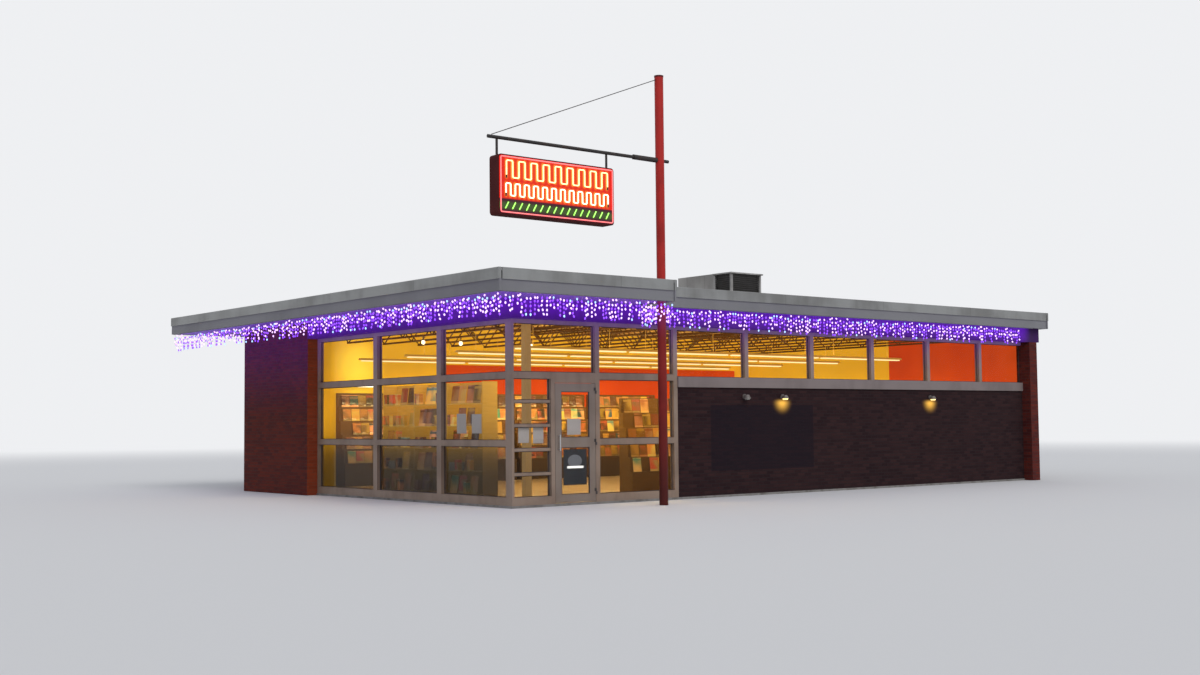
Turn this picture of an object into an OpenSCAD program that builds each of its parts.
/* [Building] */
// Width of one bay of the front wall, post centre to post centre
bay_w = 1925; // [1500:5:2600]
// Number of tall glazed bays at the front, the door bay among them
glazed_bays = 2; // [2:1:3]
// Number of bays with only high windows over the low brick wall
high_bays = 6; // [4:1:8]
// Width of one bay of the glazed left side
side_bay_w = 2340; // [1800:5:3000]
// Number of glazed bays on the left side
side_bays = 3; // [2:1:4]
// Length of the red brick wall behind the glazed left side
brick_len = 3050; // [1000:10:5000]
// Thickness of the outer brick walls
wall_t = 300; // [200:5:400]
// Thickness of the low brick wall under the high windows
low_wall_t = 200; // [160:5:300]
// How far brick walls and headers stand out from the window frames
reveal = 240; // [140:5:300]

/* [Levels] */
// Height of the floor above the ground
floor_z = 40; // [20:5:400]
// How far the floor slab reaches past the window frames
slab_out = 20; // [10:5:80]
// Underside of the middle rail, above the floor
mid_rail_z = 1030; // [800:5:1300]
// Top of the glass, above the floor
head_z = 3200; // [2900:5:3900]
// Height of the header's face between the windows and the soffit
header_face = 335; // [150:5:600]
// Height of the low front brick wall above the floor
low_wall_h = 2100; // [1500:5:2550]

/* [Frame] */
// Width of a window post of the front
post_w = 100; // [60:5:160]
// Width of a window post of the left side
side_post_w = 150; // [80:5:200]
// Width of the corner post, seen from the front
corner_front_w = 50; // [40:5:100]
// Width of the corner post, seen from the left
corner_side_w = 190; // [150:5:260]
// Width of the slim post at the brick wall
end_post_w = 50; // [30:5:100]
// Depth of the frame
frame_d = 120; // [90:5:160]
// Depth of the glass behind the frame's face
glass_in = 80; // [40:5:100]
// Height of the bottom rail
base_rail_h = 140; // [80:5:200]
// Height of the middle rail
mid_rail_h = 110; // [60:5:160]
// Height of the transom rail
transom_h = 120; // [60:5:160]
// Height of the head rail
head_rail_h = 70; // [40:5:120]
// Thickness of the glass
glass_t = 10; // [6:1:20]
// Space left round each pane in its frame
pane_gap = 0.3; // [0.1:0.1:2]
// Height of the bars between the panes beside the door
bar_h = 50; // [30:5:80]
// Height of the gray band under the high windows
band_h = 200; // [120:5:260]
// How far the gray band stands out from the brick
band_out = 30; // [10:5:60]

/* [Door] */
// Width of the door leaf
leaf_w = 915; // [760:5:1100]
// Height of the door leaf
leaf_h = 2134; // [1780:1:2560]
// Thickness of the door leaf
leaf_t = 45; // [35:1:60]
// Gap between the leaf and the frame on the hinge side
hinge_gap = 8; // [6:1:12]
// Gap between the leaf and the frame on the lock side
lock_gap = 7; // [7:1:12]
// Gap over the leaf and above its threshold
leaf_gap = 7; // [5:1:12]
// Height of the threshold
threshold_h = 8; // [4:1:15]
// Width of the door stiles
stile_w = 135; // [60:5:160]
// Height of the top rail of the door
leaf_top_h = 150; // [80:5:200]
// Height of the middle rail of the door
leaf_mid_h = 175; // [80:5:220]
// Height of the bottom rail of the door
leaf_base_h = 140; // [100:5:300]
// Width of the jamb between sidelight and door
jamb_w = 85; // [60:5:120]
// Height of the bar over the door
door_head_h = 67; // [40:1:120]
// Radius of a hinge knuckle
knuckle_r = 8; // [6:0.5:10]
// Height of a hinge knuckle
knuckle_h = 110; // [80:5:150]
// Width of a hinge plate
plate_w = 34; // [24:1:45]
// Thickness of a hinge plate
plate_t = 3; // [2:0.5:5]
// Length of the pull handle
pull_len = 280; // [180:5:500]
// Diameter of the pull handle
pull_d = 25; // [18:1:35]
// How far the pull handle stands out
pull_out = 55; // [40:1:80]

/* [Roof] */
// Overhang of the roof past the left window frames
over_left = 1230; // [600:10:1500]
// Overhang of the corner canopy past the front window frames
over_front = 1370; // [1100:10:1700]
// Overhang of the roof right of the canopy
over_low = 400; // [320:10:600]
// Overhang of the roof past the right wall
over_right = 280; // [220:10:600]
// Overhang of the roof past the back wall
over_back = 1850; // [600:10:2200]
// Width of the corner canopy, from the left window frames
canopy_w = 2680; // [2200:10:3600]
// Height of the lower fascia band
fascia_h = 190; // [120:5:240]
// Height of the upper fascia band, the gravel stop
stop_h = 185; // [150:5:240]
// Thickness of the roof deck
deck_t = 100; // [60:5:130]
// Thickness of the soffit boards
soffit_t = 20; // [12:1:30]
// Depth of the roof edge behind its face
edge_t = 60; // [40:5:100]
// Depth of the roof joists
joist_h = 500; // [250:10:560]
// Diameter of the wire of the eave lights
wire_d = 10; // [6:1:16]

/* [Sign] */
// Diameter of the sign pole
pole_d = 160; // [120:2:220]
// Height of the sign pole above the ground
pole_h = 7730; // [6400:10:9300]
// Height of the arm's axis above the ground
arm_z = 6180; // [5600:10:6200]
// Diameter of the arm
arm_d = 60; // [40:2:90]
// Width of the sign cabinet
sign_w = 2450; // [1600:10:3000]
// Height of the sign cabinet
sign_h = 1000; // [700:10:1200]
// Depth of the sign cabinet
sign_t = 248; // [180:4:300]
// Radius of the sign cabinet's corners
sign_round = 60; // [20:5:100]
// Gap from the arm's axis down to the cabinet
sign_drop = 290; // [200:10:400]
// Gap from the pole's axis to the near end of the cabinet
sign_gap = 1190; // [200:10:1500]
// Diameter of the light tubes on the sign
tube_d = 22; // [14:1:30]
// Diameter of the taut stay
stay_d = 14; // [8:1:24]

/* [Rooftop unit] */
// Width of the unit
unit_w = 950; // [700:10:1300]
// Length of the finned front part
fin_len = 580; // [400:10:900]
// Length of the plain rear part
case_len = 1190; // [700:10:1600]
// Height of the unit above its curb
unit_h = 760; // [500:10:1000]
// Distance between the fins
fin_step = 45; // [30:5:80]

/* [Inside] */
// Height of the shelves behind the glazed side
shelf_h = 2250; // [1600:10:2400]
// Height from one shelf to the next
shelf_step = 440; // [300:10:600]
// Width of one case of shelves
case_w = 1230; // [800:10:1400]
// Depth of the shelves
shelf_d = 350; // [250:10:450]
// Thickness of the shelf boards
board_t = 20; // [15:1:30]
// Distance of the shelves behind the left window frames
shelf_x = 1000; // [700:10:1400]
// Start of the shelves, behind the front window frames
shelf_y = 2370; // [1500:10:2600]
// Size of the square inner column
column_w = 130; // [100:5:200]
// How far the ceiling lights hang under the joists
light_drop = 400; // [150:10:600]

/* [Hidden] */
$fn = 48;

// Gap of pieces that sit on each other, and of butted strips
seat = 0.3;
butt = 2;

bays = glazed_bays + high_bays;
front_len = bays*bay_w;
glazed_len = glazed_bays*bay_w;
side_len = side_bays*side_bay_w;
brick_start = side_len + side_post_w/2 + seat;
depth = brick_start + brick_len;
in_x0 = wall_t - reveal;
in_x1 = front_len - wall_t;
in_y1 = depth - wall_t;

transom_z = threshold_h + leaf_gap + leaf_h + leaf_gap + door_head_h;
z_mid = floor_z + mid_rail_z;
z_transom = floor_z + transom_z;
z_head = floor_z + head_z;
z_header = z_head + head_rail_h;
z_soffit = z_header + header_face;
z_sill = floor_z + low_wall_h;
z_band = z_sill + band_h;
z_fascia_top = z_soffit + fascia_h;
z_stop_top = z_fascia_top + stop_h;
stop_up = 50;
z_deck = z_stop_top - deck_t - stop_up;
z_roof = z_deck + deck_t;

roof_x0 = -over_left;
roof_x1 = front_len + over_right;
roof_y0 = -over_front;
roof_y1 = depth + over_back;
low_y0 = -over_low;
header_past = 100;
header_end = front_len + header_past;
header_in = frame_d + 20;
stop_foot = 20;

door_right = bay_w - post_w/2;
leaf_x1 = door_right - hinge_gap;
leaf_x0 = leaf_x1 - leaf_w;
jamb_x1 = leaf_x0 - lock_gap;
jamb_x0 = jamb_x1 - jamb_w;
leaf_z0 = floor_z + threshold_h + leaf_gap;
leaf_z1 = leaf_z0 + leaf_h;
leaf_mid_z = z_mid - (leaf_mid_h - mid_rail_h)/2;
hinge_x = door_right - hinge_gap/2;
hinge_y = -knuckle_r - 1;

module block(x0, x1, y0, y1, z0, z1) {
    translate([x0, y0, z0]) cube([x1 - x0, y1 - y0, z1 - z0]);
}

// A round bar from p to q
module rod(p, q, d) {
    v = q - p;
    translate(p) rotate([0, acos(v[2]/norm(v)), atan2(v[1], v[0])]) cylinder(d = d, h = norm(v));
}

// Direction of a run, and how far one run turns from another, in degrees
function heading(v) = atan2(v[1], v[0]);
function turn(a, b) = b - a > 180 ? b - a - 360 : b - a <= -180 ? b - a + 360 : b - a;

// Straight runs from point to point in a plane, with round bends between them
module bent_rod(points, d, bend_r, closed = false) {
    n = len(points);
    last = closed ? n - 1 : n - 2;
    way = [for (i = [0:last]) heading(points[(i + 1)%n] - points[i])];
    bend = [for (i = [0:n - 1]) !closed && (i == 0 || i == n - 1) ? 0
        : turn(way[(i + last)%(last + 1)], way[i])];
    trim = [for (b = bend) bend_r*tan(abs(b)/2)];
    for (i = [0:last]) {
        p = points[i];
        q = points[(i + 1)%n];
        translate(p) rotate([0, 0, way[i]]) translate([trim[i], 0, 0]) rotate([0, 90, 0])
            cylinder(d = d, h = norm(q - p) - trim[i] - trim[(i + 1)%n]);
    }
    for (i = [0:n - 1]) if (bend[i] != 0)
        translate(points[i]) rotate([0, 0, way[i]]) translate([trim[i], sign(bend[i])*bend_r, 0])
            rotate([0, 0, bend[i] > 0 ? -90 - bend[i] : 90])
                rotate_extrude(angle = abs(bend[i])) translate([bend_r, 0]) circle(d = d);
}

// A flat pane with its gap all round, its middle on the glass line
module front_pane(x0, x1, z0, z1) {
    block(x0 + pane_gap, x1 - pane_gap, glass_in - glass_t/2, glass_in + glass_t/2,
          z0 + pane_gap, z1 - pane_gap);
}

module side_pane(y0, y1, z0, z1) {
    block(glass_in - glass_t/2, glass_in + glass_t/2, y0 + pane_gap, y1 - pane_gap,
          z0 + pane_gap, z1 - pane_gap);
}

// Walls and floor

module base_slab() {
    color("darkgray")
    linear_extrude(floor_z)
        polygon([[-slab_out, -slab_out], [in_x1, -slab_out], [in_x1, in_y1],
                 [in_x0, in_y1], [in_x0, brick_start], [-slab_out, brick_start]]);
}

module left_brick_wall() {
    color("indianred") block(-reveal, in_x0, brick_start, in_y1, 0, z_deck);
}

module back_wall() {
    color("indianred") block(-reveal, front_len, in_y1, depth, 0, z_deck);
}

module right_wall() {
    color("indianred") block(in_x1, front_len, header_in, in_y1, 0, z_deck);
}

// The header lies on this pier
module end_pier() {
    color("indianred") block(in_x1, front_len, -reveal, header_in, 0, z_header);
}

module front_brick_wall() {
    color("dimgray") block(glazed_len + post_w/2, in_x1, 0, low_wall_t, floor_z, z_sill);
}

module sill_band() {
    color("silver")
    block(glazed_len + post_w/2, in_x1, -band_out, low_wall_t + 20, z_sill, z_band);
}

// Window frames

// Two legs: one along the front, one along the left side
module corner_post() {
    color("gray") {
        block(0, corner_front_w, 0, frame_d, floor_z, z_header);
        block(0, frame_d, frame_d + seat, corner_side_w, floor_z, z_header);
    }
}

function side_lo(i) = i == 0 ? corner_side_w : i*side_bay_w + side_post_w/2;
function side_hi(i) = i == side_bays - 1 ? brick_start - seat - end_post_w
                                         : (i + 1)*side_bay_w - side_post_w/2;

module side_posts() {
    color("gray")
    for (i = [0:side_bays - 1])
        block(0, frame_d, side_hi(i), i == side_bays - 1 ? brick_start - seat : side_lo(i + 1),
              floor_z, z_header);
}

module side_rails() {
    color("gray")
    for (i = [0:side_bays - 1]) {
        block(0, frame_d, side_lo(i), side_hi(i), floor_z, floor_z + base_rail_h);
        block(0, frame_d, side_lo(i), side_hi(i), z_mid, z_mid + mid_rail_h);
        block(0, frame_d, side_lo(i), side_hi(i), z_transom, z_transom + transom_h);
        block(0, frame_d, side_lo(i), side_hi(i), z_head, z_header);
    }
}

// Posts of the tall bays stand on the floor, those of the high windows on the gray band
module front_posts() {
    color("gray")
    for (i = [1:bays - 1])
        block(i*bay_w - post_w/2, i*bay_w + post_w/2, 0, frame_d,
              i <= glazed_bays ? floor_z : z_band, z_header);
}

function front_lo(i) = i == 0 ? corner_front_w : i*bay_w + post_w/2;
function front_hi(i) = i == bays - 1 ? in_x1 : (i + 1)*bay_w - post_w/2;

bars = 4;
sidelight_z0 = floor_z + base_rail_h;
sidelight_pane = (z_transom - sidelight_z0 - bars*bar_h)/(bars + 1);
function bar_z(k) = sidelight_z0 + k*(sidelight_pane + bar_h) + sidelight_pane;

module front_rails() {
    color("gray") {
        for (i = [0:bays - 1])
            block(front_lo(i), front_hi(i), 0, frame_d, z_head, z_header);
        for (i = [0:glazed_bays - 1])
            block(front_lo(i), front_hi(i), 0, frame_d, z_transom, z_transom + transom_h);
        for (i = [1:glazed_bays - 1]) {
            block(front_lo(i), front_hi(i), 0, frame_d, floor_z, floor_z + base_rail_h);
            block(front_lo(i), front_hi(i), 0, frame_d, z_mid, z_mid + mid_rail_h);
        }
        block(corner_front_w, jamb_x0, 0, frame_d, floor_z, floor_z + base_rail_h);
        for (k = [0:bars - 1])
            block(corner_front_w, jamb_x0, 20, frame_d, bar_z(k), bar_z(k) + bar_h);
    }
}

// Glass

module side_glass() {
    color("lightblue", 0.4)
    for (i = [0:side_bays - 1]) {
        side_pane(side_lo(i), side_hi(i), floor_z + base_rail_h, z_mid);
        side_pane(side_lo(i), side_hi(i), z_mid + mid_rail_h, z_transom);
        side_pane(side_lo(i), side_hi(i), z_transom + transom_h, z_head);
    }
}

module front_glass() {
    color("lightblue", 0.4) {
        for (k = [0:bars])
            front_pane(corner_front_w, jamb_x0, k == 0 ? sidelight_z0 : bar_z(k - 1) + bar_h,
                       k == bars ? z_transom : bar_z(k));
        for (i = [1:glazed_bays - 1]) {
            front_pane(front_lo(i), front_hi(i), floor_z + base_rail_h, z_mid);
            front_pane(front_lo(i), front_hi(i), z_mid + mid_rail_h, z_transom);
        }
        for (i = [0:bays - 1])
            front_pane(front_lo(i), front_hi(i), i < glazed_bays ? z_transom + transom_h : z_band,
                       z_head);
    }
}

// Door

// Jamb, bar over the door, and threshold
module door_frame() {
    color("gray") {
        block(jamb_x0, jamb_x1, 0, frame_d, floor_z, z_transom);
        block(jamb_x1 + seat, door_right - seat, 0, frame_d, leaf_z1 + leaf_gap, z_transom);
        block(jamb_x1 + seat, door_right - seat, 0, frame_d, floor_z, floor_z + threshold_h);
    }
}

leaf_low_z0 = leaf_z0 + leaf_base_h;
leaf_up_z0 = leaf_mid_z + leaf_mid_h;
leaf_up_z1 = leaf_z1 - leaf_top_h;

module leaf_opening(z0, z1) {
    block(leaf_x0 + stile_w, leaf_x1 - stile_w, -1, leaf_t + 1, z0, z1);
}

module door_leaf() {
    color("lightslategray")
    difference() {
        block(leaf_x0, leaf_x1, 0, leaf_t, leaf_z0, leaf_z1);
        leaf_opening(leaf_low_z0, leaf_mid_z);
        leaf_opening(leaf_up_z0, leaf_up_z1);
    }
}

module leaf_pane(z0, z1) {
    block(leaf_x0 + stile_w + pane_gap, leaf_x1 - stile_w - pane_gap,
          (leaf_t - glass_t)/2, (leaf_t + glass_t)/2, z0 + pane_gap, z1 - pane_gap);
}

module door_glass() {
    color("lightblue", 0.4) {
        leaf_pane(leaf_low_z0, leaf_mid_z);
        leaf_pane(leaf_up_z0, leaf_up_z1);
    }
}

hinge_z = [leaf_z0 + 180, leaf_mid_z + leaf_mid_h/2, leaf_z1 - 130];

// One half of a hinge: its knuckle from z0 to z1, with a plate from x0 to x1
module hinge_half(x0, x1, z0, z1) {
    translate([hinge_x, hinge_y, z0]) cylinder(r = knuckle_r, h = z1 - z0);
    block(x0, x1, -seat - plate_t, -seat, z0, z1);
}

// Lower halves, on the post
module door_hinges() {
    color("dimgray")
    for (z = hinge_z) hinge_half(hinge_x, hinge_x + plate_w, z - knuckle_h/2, z - seat/2);
}

// Upper halves, on the leaf
module door_hinge_leaves() {
    color("dimgray")
    for (z = hinge_z) hinge_half(hinge_x - plate_w, hinge_x, z + seat/2, z + knuckle_h/2);
}

pull_x = leaf_x0 + stile_w/2;
pull_z0 = z_mid + (mid_rail_h - pull_len)/2;
pull_end = 20;
stud_d = 16;

module door_pull() {
    color("silver") {
        translate([pull_x, -pull_out, pull_z0]) cylinder(d = pull_d, h = pull_len);
        for (z = [pull_z0 + pull_end, pull_z0 + pull_len - pull_end])
            translate([pull_x, -seat, z]) rotate([90, 0, 0])
                cylinder(d = stud_d, h = pull_out - seat);
    }
}

// Roof

// Along the left side, and along the front
module headers() {
    color("lightgray") {
        block(-reveal, header_in, -reveal, brick_start - seat, z_header, z_deck);
        block(header_in + seat, header_end, -reveal, header_in, z_header, z_deck);
    }
}

pole_front_gap = 10;
pole_side_gap = 70;
pole_x = canopy_w - edge_t - stop_foot - pole_side_gap - pole_d/2;
pole_y = -over_front + edge_t + stop_foot + pole_front_gap + pole_d/2;

// The pole passes through deck and soffit
module pole_hole(z0, z1) {
    translate([pole_x, pole_y, z0 - 1]) cylinder(d = pole_d + 2*seat, h = z1 - z0 + 2);
}

module roof_deck() {
    color("slategray") {
        block(roof_x0 + edge_t, roof_x1 - edge_t, low_y0 + edge_t, roof_y1 - edge_t,
              z_deck, z_roof);
        difference() {
            block(roof_x0 + edge_t, canopy_w - edge_t, roof_y0 + edge_t, low_y0 + edge_t - seat,
                  z_deck, z_roof);
            pole_hole(z_deck, z_roof);
        }
    }
}

module soffit() {
    z1 = z_soffit + soffit_t;
    y_in = -reveal - seat;
    color("gainsboro") {
        block(roof_x0 + edge_t, -reveal - seat, roof_y0 + edge_t, roof_y1 - edge_t, z_soffit, z1);
        difference() {
            block(y_in + butt, canopy_w - edge_t, roof_y0 + edge_t, y_in, z_soffit, z1);
            pole_hole(z_soffit, z1);
        }
        block(canopy_w - edge_t + butt, roof_x1 - edge_t, low_y0 + edge_t, y_in, z_soffit, z1);
        block(header_end + seat, roof_x1 - edge_t, y_in + butt, header_in, z_soffit, z1);
        block(front_len + seat, roof_x1 - edge_t, header_in + butt, roof_y1 - edge_t, z_soffit, z1);
        block(y_in + butt, front_len + seat - butt, depth + seat, roof_y1 - edge_t, z_soffit, z1);
    }
}

// Section of the lower band: depth from the roof's outer face, and height
board_in = 20;
board_down = 10;
fascia_section = [[board_in, z_soffit - board_down], [edge_t - seat, z_soffit - board_down],
    [edge_t - seat, z_fascia_top], [board_in, z_fascia_top]];

// Section of the upper band: a folded metal edge with a drip and a sloped back
drip = 8;
stop_section = [[0, z_fascia_top - drip], [6, z_fascia_top - drip],
    [board_in, z_fascia_top + seat], [edge_t - seat, z_fascia_top + seat],
    [edge_t - seat, z_roof + seat], [edge_t + stop_foot, z_roof + seat],
    [edge_t, z_stop_top], [drip, z_stop_top], [0, z_stop_top - drip]];

module edge_strip(section, length) {
    rotate([90, 0, 90]) linear_extrude(length) polygon(section);
}

// Straight strips: left, canopy front, canopy end, front, right, back
module roof_edge(section, back) {
    translate([roof_x0, roof_y1, 0]) rotate([0, 0, -90])
        edge_strip(section, roof_y1 - roof_y0);
    translate([roof_x0 + back + butt, roof_y0, 0])
        edge_strip(section, canopy_w - roof_x0 - 2*back - 2*butt);
    translate([canopy_w, roof_y0, 0]) rotate([0, 0, 90])
        edge_strip(section, low_y0 - roof_y0 + edge_t);
    translate([canopy_w + butt, low_y0, 0])
        edge_strip(section, roof_x1 - canopy_w - back - 2*butt);
    translate([roof_x1, low_y0, 0]) rotate([0, 0, 90])
        edge_strip(section, roof_y1 - low_y0);
    translate([roof_x1 - back - butt, roof_y1, 0]) rotate([0, 0, 180])
        edge_strip(section, roof_x1 - roof_x0 - 2*back - 2*butt);
}

module fascia_boards() {
    color("slategray") roof_edge(fascia_section, edge_t);
}

module gravel_stop() {
    color("lightslategray") roof_edge(stop_section, edge_t + stop_foot);
}

// Clipped under the lower band, from the rear left round the canopy to the pier
module eave_wire() {
    w = edge_t - wire_d;
    color("white")
    translate([0, 0, z_soffit - board_down - seat - wire_d/2])
        bent_rod([[roof_x0 + w, roof_y1 - w], [roof_x0 + w, roof_y0 + w],
                  [canopy_w - w, roof_y0 + w], [canopy_w - w, low_y0 + w],
                  [in_x1, low_y0 + w]], wire_d, 2*wire_d);
}

// Open-web joists from front to back, hung under the deck
joist_step = bay_w/2;
joist_y0 = header_in + seat;
joist_y1 = in_y1 - seat;
joist_z1 = z_deck - seat;
joist_z0 = joist_z1 - joist_h;
chord_h = 40;
chord_w = 60;
web_t = 20;
web_in = 30;
panels = 8;
panel_len = (joist_y1 - joist_y0 - 2*web_in)/panels;

module joist() {
    web_dz = joist_h - chord_h;
    web_len = sqrt(pow(panel_len/2, 2) + pow(web_dz, 2));
    web_a = atan2(panel_len/2, web_dz);
    block(-chord_w/2, chord_w/2, joist_y0, joist_y1, joist_z1 - chord_h, joist_z1);
    block(-chord_w/2, chord_w/2, joist_y0 + panel_len/2, joist_y1 - panel_len/2,
          joist_z0, joist_z0 + chord_h);
    for (k = [0:panels - 1], s = [-1, 1])
        translate([0, joist_y0 + web_in + (k + 0.5)*panel_len, joist_z0 + chord_h/2])
            rotate([-s*web_a, 0, 0])
                translate([-web_t/2, -web_t/2, 0]) cube([web_t, web_t, web_len]);
}

module roof_joists() {
    color("goldenrod")
    for (x = [joist_step:joist_step:in_x1 - chord_w]) translate([x, 0, 0]) joist();
}

// Sign on its pole

cap_h = 25;
cap_out = 5;

module sign_pole() {
    color("firebrick") {
        translate([pole_x, pole_y, 0]) cylinder(d = pole_d, h = pole_h - cap_h);
        translate([pole_x, pole_y, pole_h - cap_h]) cylinder(r = pole_d/2 + cap_out, h = cap_h);
    }
}

sign_x1 = pole_x - sign_gap;
sign_x0 = sign_x1 - sign_w;
sign_z1 = arm_z - sign_drop;
sign_z0 = sign_z1 - sign_h;
arm_past = 120;
arm_x0 = sign_x0 - arm_past;
sleeve_len = 550;
sleeve_d = arm_d*1.5;

// A taut stay from the pole's top to the arm's end, its cut ends clear of both
module stay() {
    p = [arm_x0 + arm_d, pole_y, arm_z + arm_d/2];
    q = [pole_x - pole_d/2, pole_y, pole_h - cap_h - arm_d];
    v = (q - p)/norm(q - p);
    rod(p + v*(seat + stay_d/2*v[0])/v[2], q - v*(seat + stay_d/2*v[2])/v[0], stay_d);
}

// The arm with its sleeve left of the pole, a stub right of it, and the stay
module sign_arm() {
    color("black") {
        x0 = pole_x - pole_d/2 - seat;
        x1 = pole_x + pole_d/2 + seat;
        rod([arm_x0, pole_y, arm_z], [x0, pole_y, arm_z], arm_d);
        rod([x0 - sleeve_len, pole_y, arm_z], [x0, pole_y, arm_z], sleeve_d);
        rod([x1, pole_y, arm_z], [x1 + arm_past, pole_y, arm_z], arm_d);
        stay();
    }
}

hanger_w = 40;
hanger_t = 16;

module sign_hangers() {
    color("black")
    for (x = [sign_x0 + sign_round, sign_x1 - sign_round])
        block(x - hanger_w/2, x + hanger_w/2, pole_y - hanger_t/2, pole_y + hanger_t/2,
              sign_z1 + seat, arm_z - arm_d/2 - seat);
}

// A plate with round corners, standing along the front
module round_plate(x0, x1, z0, z1, r, y0, y1) {
    block(x0 + r, x1 - r, y0, y1, z0, z1);
    block(x0, x1, y0, y1, z0 + r, z1 - r);
    for (x = [x0 + r, x1 - r], z = [z0 + r, z1 - r])
        translate([x, y1, z]) rotate([90, 0, 0]) cylinder(r = r, h = y1 - y0);
}

sign_front = pole_y - sign_t/2;
face_t = 6;
face_in = 20;
tube_y = sign_front - seat - face_t - seat - tube_d/2;
tube_bend = 1.2*tube_d;

module sign_cabinet() {
    color("darkred")
    round_plate(sign_x0, sign_x1, sign_z0, sign_z1, sign_round, sign_front, pole_y + sign_t/2);
}

module sign_face() {
    color("crimson")
    round_plate(sign_x0 + face_in, sign_x1 - face_in, sign_z0 + face_in, sign_z1 - face_in,
                sign_round - face_in, sign_front - seat - face_t, sign_front - seat);
}

module on_face(x, z) {
    translate([x, tube_y, z]) rotate([90, 0, 0]) children();
}

// One tube all round the face
module sign_border_tube() {
    i = face_in + tube_d;
    w = sign_w - 2*i;
    h = sign_h - 2*i;
    color("lightpink")
    on_face(sign_x0 + i, sign_z0 + i)
        bent_rod([[0, 0], [w, 0], [w, h], [0, h]], tube_d, tube_bend, true);
}

// Rows from side to side of the face: one folded tube each, then slanted strokes
upper_folds = 9;
middle_folds = 12;
strokes = 16;
row_in = 90;
row_w = sign_w - 2*row_in;

// A row between two heights, given as shares of the sign's height from its top
module folded_row(folds, top, bottom) {
    half = floor(row_w/folds/2);
    h = floor((bottom - top)*sign_h);
    x0 = sign_x0 + row_in + floor((row_w - half*(2*folds - 1))/2);
    on_face(x0, sign_z1 - floor(bottom*sign_h))
        bent_rod([for (k = [0:folds - 1]) each [[2*k*half, 0], [2*k*half, h],
                  [(2*k + 1)*half, h], [(2*k + 1)*half, 0]]], tube_d, tube_bend);
}

module sign_upper_tube() {
    color("khaki") folded_row(upper_folds, 0.1, 0.38);
}

module sign_middle_tube() {
    color("orange") folded_row(middle_folds, 0.48, 0.68);
}

module sign_strokes() {
    step = row_w/strokes;
    color("limegreen")
    for (k = [0:strokes - 1]) {
        x = sign_x0 + row_in + (k + 0.5)*step;
        rod([x - 0.22*step, tube_y, sign_z1 - 0.9*sign_h],
            [x + 0.22*step, tube_y, sign_z1 - 0.79*sign_h], tube_d);
    }
}

// Lamps under the gray band, placed in bays from the end of the tall glazing
lamp_bays = [0.956, 1.522, 4.01];
lamp_x = [for (b = lamp_bays) if (b < high_bays) glazed_len + b*bay_w];
lamp_z = z_sill - 210;
lamp_out = 90;
shade_d = 150;
shade_h = 70;
lens_h = 25;

module wall_lamps() {
    color("dimgray")
    for (x = lamp_x) translate([x, -seat, lamp_z]) {
        translate([0, 0, shade_h/2]) rotate([90, 0, 0]) cylinder(d = 0.7*shade_d, h = 25);
        translate([0, -lamp_out, 0]) cylinder(d1 = shade_d, d2 = shade_d/2, h = shade_h);
        block(-15, 15, -lamp_out, 0, shade_h/2, shade_h/2 + 25);
    }
}

module lamp_lenses() {
    color("ivory")
    for (x = lamp_x)
        translate([x, -seat - lamp_out, lamp_z - seat - lens_h])
            cylinder(d1 = 0.6*shade_d, d2 = 0.8*shade_d, h = lens_h);
}

// Rooftop unit, its left side in bays from the corner
unit_x = 4.12*bay_w;
unit_y = 2600;
curb_h = 100;
curb_in = 60;
unit_z0 = z_roof + seat + curb_h;
unit_z1 = unit_z0 + unit_h;
fin_z0 = unit_z0 + 20;
leg_w = 50;
cap_over = 35;
unit_cap_h = 30;

// Curb and plain rear part
module rooftop_unit() {
    color("gray") {
        block(unit_x + curb_in, unit_x + unit_w - curb_in, unit_y + curb_in,
              unit_y + fin_len + case_len - curb_in, z_roof + seat, unit_z0);
        block(unit_x, unit_x + unit_w, unit_y + fin_len, unit_y + fin_len + case_len,
              unit_z0, unit_z1);
    }
}

// Base, four legs and cap of the finned front part
module unit_frame() {
    z0 = unit_z0 + seat;
    y1 = unit_y + fin_len - seat;
    color("lightgray") {
        block(unit_x, unit_x + unit_w, unit_y, y1, z0, fin_z0);
        for (x = [unit_x, unit_x + unit_w - leg_w], y = [unit_y, y1 - leg_w])
            block(x, x + leg_w, y, y + leg_w, z0, unit_z1 - unit_cap_h);
        block(unit_x - cap_over, unit_x + unit_w + cap_over, unit_y - cap_over, y1,
              unit_z1 - unit_cap_h, unit_z1);
    }
}

// A dark core with fins that stand between the legs
module unit_fins() {
    y1 = unit_y + fin_len - seat;
    gap = leg_w + seat;
    color("dimgray") {
        block(unit_x + gap, unit_x + unit_w - gap, unit_y + gap, y1 - gap,
              fin_z0 + seat, unit_z1 - unit_cap_h - seat);
        for (z = [fin_z0 + fin_step:fin_step:unit_z1 - unit_cap_h - 10]) {
            block(unit_x + gap, unit_x + unit_w - gap, unit_y + 8, y1 - 8, z, z + 6);
            block(unit_x + 8, unit_x + unit_w - 8, unit_y + gap, y1 - gap, z, z + 6);
        }
    }
}

// Inside

// One column behind the panes beside the door
module inner_column() {
    x = 0.62*bay_w;
    y = 1200;
    color("tan")
    block(x - column_w/2, x + column_w/2, y - column_w/2, y + column_w/2, floor_z, z_deck - seat);
}

// Rows of long fittings, each hung on two rods from the first and third of the joists it passes
light_rows = 4;
light_w = 130;
light_top_w = 80;
light_h = 45;
light_gap = 30;
light_span = 3*joist_step;
light_z = joist_z0 - seat - light_drop - light_h;
hang_d = 10;
last_joist = floor((in_x1 - chord_w)/joist_step);

lip_h = 8;
lamp_tube_d = 26;
lamp_tube_in = 60;

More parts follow.
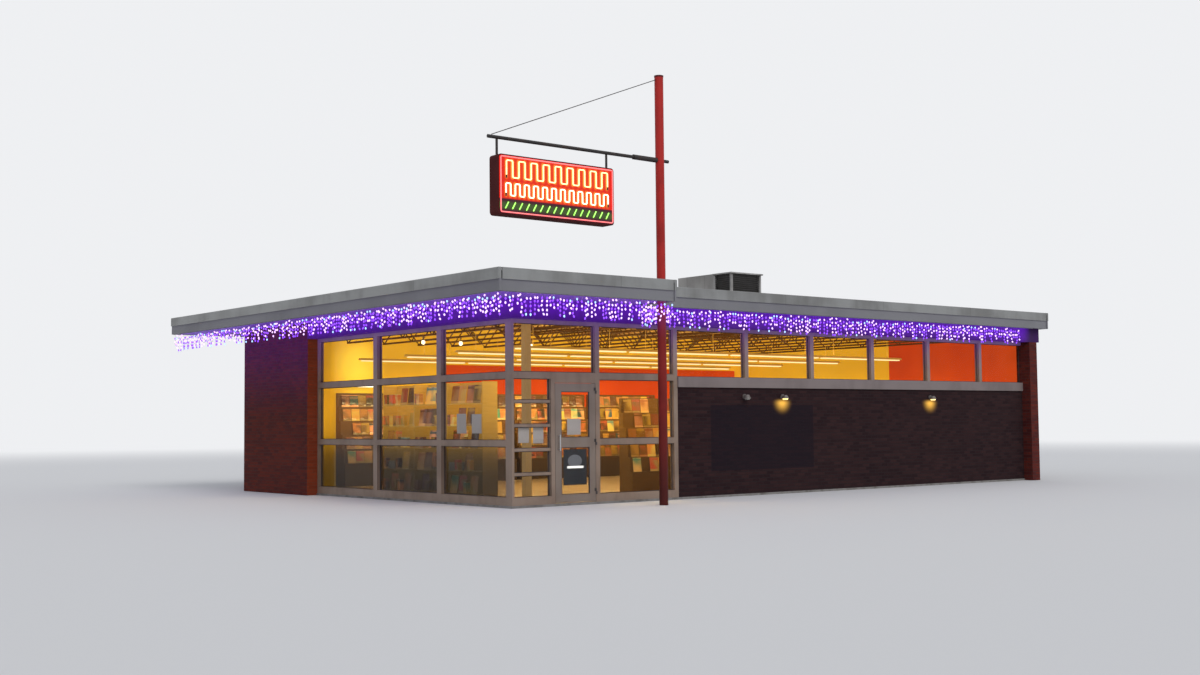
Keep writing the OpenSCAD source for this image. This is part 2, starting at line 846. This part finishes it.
// One fitting with its rods, and two tubes under it
module light_fitting() {
    x0 = (light_gap - joist_step)/2;
    length = light_span - light_gap;
    translate([x0, 0, 0]) rotate([90, 0, 90]) linear_extrude(length)
        polygon([[-light_w/2, 0], [light_w/2, 0], [light_w/2, lip_h],
                 [light_top_w/2, light_h], [-light_top_w/2, light_h], [-light_w/2, lip_h]]);
    for (x = [0, 2*joist_step])
        translate([x, 0, light_h/2]) cylinder(d = hang_d, h = light_drop + light_h/2);
    for (y = [-light_w/4, light_w/4])
        translate([x0 + lamp_tube_in, y, -seat - lamp_tube_d/2]) rotate([0, 90, 0])
            cylinder(d = lamp_tube_d, h = length - 2*lamp_tube_in);
}

module ceiling_lights() {
    color("white")
    for (k = [1:light_rows], j = [2:3:last_joist - 2])
        translate([j*joist_step, k*in_y1/(light_rows + 1), light_z]) light_fitting();
}

// Cases of open shelves, facing the left side: uprights, backs and boards
shelf_cases = 3;
shelf_y1 = shelf_y + shelf_cases*case_w;

module side_shelves() {
    x1 = shelf_x + shelf_d;
    color("peru") {
        for (k = [0:shelf_cases])
            block(shelf_x, x1, shelf_y + k*case_w - board_t/2, shelf_y + k*case_w + board_t/2,
                  floor_z, floor_z + shelf_h);
        for (k = [0:shelf_cases - 1]) {
            y0 = shelf_y + k*case_w + board_t/2 + seat;
            y1 = shelf_y + (k + 1)*case_w - board_t/2 - seat;
            block(x1 - board_t, x1, y0, y1, floor_z, floor_z + shelf_h);
            for (z = [floor_z + 60:shelf_step:floor_z + shelf_h - board_t])
                block(shelf_x, x1 - board_t - seat, y0, y1, z, z + board_t);
        }
    }
}

// A closed rack whose front steps back as it rises: its back stands at 0
rack_steps = 6;

module rack(length, foot_h, rise, tread, top) {
    foot = top + (rack_steps - 1)*tread;
    rotate([90, 0, 90]) linear_extrude(length) polygon([
        [0, 0], [-foot, 0], [-foot, foot_h],
        for (k = [1:rack_steps - 1]) each [
            [-foot + k*tread, foot_h + (k - 1)*rise],
            [-foot + k*tread, foot_h + k*rise]],
        [0, foot_h + (rack_steps - 1)*rise]]);
}

display_len = 1000;
display_x = 4280;
display_y = 2210;

// Behind the tall bay right of the door
module display_racks() {
    color("peru")
    for (k = [0, 1])
        translate([display_x + k*(display_len + 25), display_y, floor_z])
            rack(display_len, 430, 300, 70, 60);
}

wall_rack_len = 2400;
wall_rack_gap = 120;
wall_rack_x0 = 1940;
wall_rack_x1 = min(6.2*bay_w, in_x1);

// Along the back wall
module wall_racks() {
    color("peru")
    for (x = [wall_rack_x0:wall_rack_len + wall_rack_gap:wall_rack_x1 - wall_rack_len])
        translate([x, in_y1 - seat, floor_z]) rack(wall_rack_len, 540, 330, 75, 80);
}

base_slab();
left_brick_wall();
back_wall();
right_wall();
end_pier();
front_brick_wall();
sill_band();
corner_post();
side_posts();
side_rails();
front_posts();
front_rails();
side_glass();
front_glass();
door_frame();
door_leaf();
door_glass();
door_hinges();
door_hinge_leaves();
door_pull();
headers();
roof_deck();
soffit();
fascia_boards();
gravel_stop();
roof_joists();
eave_wire();
inner_column();
ceiling_lights();
side_shelves();
display_racks();
wall_racks();
sign_pole();
sign_arm();
sign_hangers();
sign_cabinet();
sign_face();
sign_border_tube();
sign_upper_tube();
sign_middle_tube();
sign_strokes();
wall_lamps();
lamp_lenses();
rooftop_unit();
unit_frame();
unit_fins();
